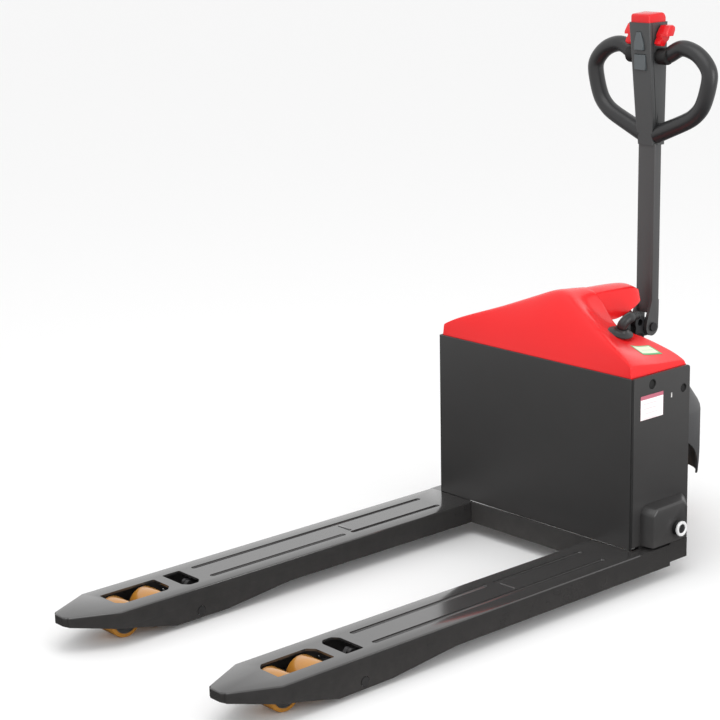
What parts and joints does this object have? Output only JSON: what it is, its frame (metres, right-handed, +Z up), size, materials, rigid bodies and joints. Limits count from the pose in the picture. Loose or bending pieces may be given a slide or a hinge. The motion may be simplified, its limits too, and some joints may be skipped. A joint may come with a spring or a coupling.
{
  "type": "electric pallet jack",
  "caption": "Walkie electric pallet jack: two forks with tandem load rollers, lifting body with a red hood, and a steered, driven wheel under an upright tiller with closed handle loops.",
  "frame": {"origin": "on the floor, under the middle of the whole truck's box", "axes": "+Z up, fork tips toward -Y, operator at +Y, +X to the truck's right side as its fork tips are faced from behind"},
  "size_m": [0.717, 1.6379, 1.2425],
  "materials": {
    "frame_paint": "semi-gloss dark grey powder coat",
    "black_steel": "black painted steel",
    "hood_red": "red moulded cover, satin gloss",
    "red_plastic": "red moulded controls",
    "polyurethane": "amber cast polyurethane",
    "wheel_core": "machined cast iron",
    "zinc_steel": "zinc-plated steel",
    "arm_paint": "dark grey powder coat",
    "head_plastic": "fine-textured moulding",
    "grip_rubber": "soft-touch grip moulding",
    "button_grey": "slate-grey buttons",
    "cover_plastic": "textured guard moulding",
    "motor_cast": "as-cast aluminium",
    "battery_case": "battery case",
    "conduit_black": "ribbed black conduit",
    "tyre_rubber": "solid rubber tread"
  },
  "bodies": {
    "drive_base": {"drive_bracket": "black_steel", "lift_cylinder": "black_steel", "tiller_conduit": "conduit_black"},
    "lift_frame": {"front_panel": "frame_paint", "crossbeam": "frame_paint", "lift_crosshead": "frame_paint", "hood": "hood_red", "cable_gland": "conduit_black", "battery_pack": "battery_case", "motor_controller": "motor_cast", "pump_unit": "motor_cast", "lift_ram": "zinc_steel", "side_panel_left": "frame_paint", "side_panel_right": "frame_paint", "shaft_housing_left": "frame_paint", "shaft_housing_right": "frame_paint", "fork_plate_left": "frame_paint", "fork_plate_right": "frame_paint", "fork_toe_left": "frame_paint", "fork_toe_right": "frame_paint", "fork_nose_left": "frame_paint", "fork_nose_right": "frame_paint", "fork_side_outer_left": "frame_paint", "fork_side_outer_right": "frame_paint", "fork_side_inner_left": "frame_paint", "fork_side_inner_right": "frame_paint"},
    "cross_shaft": {"cross_shaft": "black_steel", "shaft_end_ring_left": "zinc_steel", "shaft_end_ring_right": "zinc_steel"},
    "drive_unit": {"slewing_ring": "zinc_steel", "drive_motor": "motor_cast", "gearbox": "motor_cast", "drive_cover": "cover_plastic", "steering_knuckle": "black_steel", "tiller_pin": "black_steel", "cable_inlet": "conduit_black"},
    "drive_wheel": {"drive_tyre": "polyurethane", "drive_hub": "wheel_core"},
    "tiller": {"tiller_arm": "arm_paint", "tiller_head": "head_plastic", "handle_loop_left": "grip_rubber", "handle_loop_right": "grip_rubber"},
    "throttle": {"throttle_wings": "red_plastic"},
    "belly_button": {"belly_button": "red_plastic"},
    "raise_button": {"raise_button": "button_grey"},
    "lower_button": {"lower_button": "button_grey"},
    "push_rod_left": {"push_rod_left": "black_steel"},
    "load_arm_left": {"load_arm_left": "black_steel"},
    "roller_bogie_left": {"roller_bogie_left": "zinc_steel"},
    "load_roller_left_front": {"load_roller_left_front": "polyurethane"},
    "load_roller_left_rear": {"load_roller_left_rear": "polyurethane"},
    "castor_left": {"castor_fork_left": "zinc_steel"},
    "castor_wheel_left": {"castor_wheel_left": "tyre_rubber"},
    "push_rod_right": {"push_rod_right": "black_steel"},
    "load_arm_right": {"load_arm_right": "black_steel"},
    "roller_bogie_right": {"roller_bogie_right": "zinc_steel"},
    "load_roller_right_front": {"load_roller_right_front": "polyurethane"},
    "load_roller_right_rear": {"load_roller_right_rear": "polyurethane"},
    "castor_right": {"castor_fork_right": "zinc_steel"},
    "castor_wheel_right": {"castor_wheel_right": "tyre_rubber"}
  },
  "joints": [
    {"name": "fork_lift", "type": "slide", "parent": "drive_base", "child": "lift_frame", "axis": [0, 0, 1], "range_m": [0, 0.115], "deforming": ["tiller_conduit"]},
    {"name": "steering", "type": "hinge", "parent": "drive_base", "child": "drive_unit", "pos_m": [0, 0.661, 0.37], "axis": [0, 0, 1], "range_deg": [-90, 90]},
    {"name": "drive_wheel_spin", "type": "hinge", "parent": "drive_unit", "child": "drive_wheel", "pos_m": [0, 0.661, 0.105], "axis": [1, 0, 0], "continuous": true},
    {"name": "tiller_tilt", "type": "hinge", "parent": "drive_unit", "child": "tiller", "pos_m": [0, 0.728, 0.487], "axis": [-1, 0, 0], "range_deg": [0, 80], "stiffness_Nm_per_rad": 18, "springref_deg": -40.11},
    {"name": "throttle_twist", "type": "hinge", "parent": "tiller", "child": "throttle", "pos_m": [0, 0.727, 1.189], "axis": [1, 0, 0], "range_deg": [-30, 30], "stiffness_Nm_per_rad": 0.6},
    {"name": "belly_button_press", "type": "slide", "parent": "tiller", "child": "belly_button", "axis": [0, 0, -1], "range_m": [0, 0.007], "stiffness_N_per_m": 600, "springref_m": -0.004},
    {"name": "raise_button_press", "type": "slide", "parent": "tiller", "child": "raise_button", "axis": [0, 1, 0], "range_m": [0, 0.003], "stiffness_N_per_m": 600, "springref_m": -0.002},
    {"name": "lower_button_press", "type": "slide", "parent": "tiller", "child": "lower_button", "axis": [0, 1, 0], "range_m": [0, 0.003], "stiffness_N_per_m": 600, "springref_m": -0.002},
    {"name": "cross_shaft_turn", "type": "hinge", "parent": "lift_frame", "child": "cross_shaft", "pos_m": [0, 0.452, 0.118], "axis": [-1, 0, 0], "range_deg": [0, 70]},
    {"name": "push_rod_slide_left", "type": "slide", "parent": "lift_frame", "child": "push_rod_left", "axis": [0, -1, 0], "range_m": [0, 0.0431]},
    {"name": "load_arm_swing_left", "type": "hinge", "parent": "lift_frame", "child": "load_arm_left", "pos_m": [-0.2675, -0.502, 0.028], "axis": [1, 0, 0], "range_deg": [0, 61.7]},
    {"name": "bogie_level_left", "type": "hinge", "parent": "load_arm_left", "child": "roller_bogie_left", "pos_m": [-0.2675, -0.6265, 0.039], "axis": [-1, 0, 0], "range_deg": [0, 61.7]},
    {"name": "castor_swivel_left", "type": "hinge", "parent": "drive_base", "child": "castor_left", "pos_m": [-0.2, 0.566, 0.1], "axis": [0, 0, 1], "continuous": true},
    {"name": "castor_spin_left", "type": "hinge", "parent": "castor_left", "child": "castor_wheel_left", "pos_m": [-0.2, 0.536, 0.037], "axis": [1, 0, 0], "continuous": true},
    {"name": "load_roller_spin_left_front", "type": "hinge", "parent": "roller_bogie_left", "child": "load_roller_left_front", "pos_m": [-0.2675, -0.669, 0.039], "axis": [1, 0, 0], "continuous": true},
    {"name": "load_roller_spin_left_rear", "type": "hinge", "parent": "roller_bogie_left", "child": "load_roller_left_rear", "pos_m": [-0.2675, -0.584, 0.039], "axis": [1, 0, 0], "continuous": true},
    {"name": "push_rod_slide_right", "type": "slide", "parent": "lift_frame", "child": "push_rod_right", "axis": [0, -1, 0], "range_m": [0, 0.0431]},
    {"name": "load_arm_swing_right", "type": "hinge", "parent": "lift_frame", "child": "load_arm_right", "pos_m": [0.2675, -0.502, 0.028], "axis": [1, 0, 0], "range_deg": [0, 61.7]},
    {"name": "bogie_level_right", "type": "hinge", "parent": "load_arm_right", "child": "roller_bogie_right", "pos_m": [0.2675, -0.6265, 0.039], "axis": [-1, 0, 0], "range_deg": [0, 61.7]},
    {"name": "castor_swivel_right", "type": "hinge", "parent": "drive_base", "child": "castor_right", "pos_m": [0.2, 0.566, 0.1], "axis": [0, 0, 1], "continuous": true},
    {"name": "castor_spin_right", "type": "hinge", "parent": "castor_right", "child": "castor_wheel_right", "pos_m": [0.2, 0.536, 0.037], "axis": [1, 0, 0], "continuous": true},
    {"name": "load_roller_spin_right_front", "type": "hinge", "parent": "roller_bogie_right", "child": "load_roller_right_front", "pos_m": [0.2675, -0.669, 0.039], "axis": [1, 0, 0], "continuous": true},
    {"name": "load_roller_spin_right_rear", "type": "hinge", "parent": "roller_bogie_right", "child": "load_roller_right_rear", "pos_m": [0.2675, -0.584, 0.039], "axis": [1, 0, 0], "continuous": true}
  ],
  "couplings": [
    {"joint": "cross_shaft_turn", "follows": "fork_lift", "rad_per_m": 10.624},
    {"joint": "push_rod_slide_left", "follows": "fork_lift", "ratio": 0.37456},
    {"joint": "load_arm_swing_left", "follows": "fork_lift", "rad_per_m": 9.3641},
    {"joint": "bogie_level_left", "follows": "fork_lift", "rad_per_m": 9.3641},
    {"joint": "push_rod_slide_right", "follows": "fork_lift", "ratio": 0.37456},
    {"joint": "load_arm_swing_right", "follows": "fork_lift", "rad_per_m": 9.3641},
    {"joint": "bogie_level_right", "follows": "fork_lift", "rad_per_m": 9.3641}
  ]
}
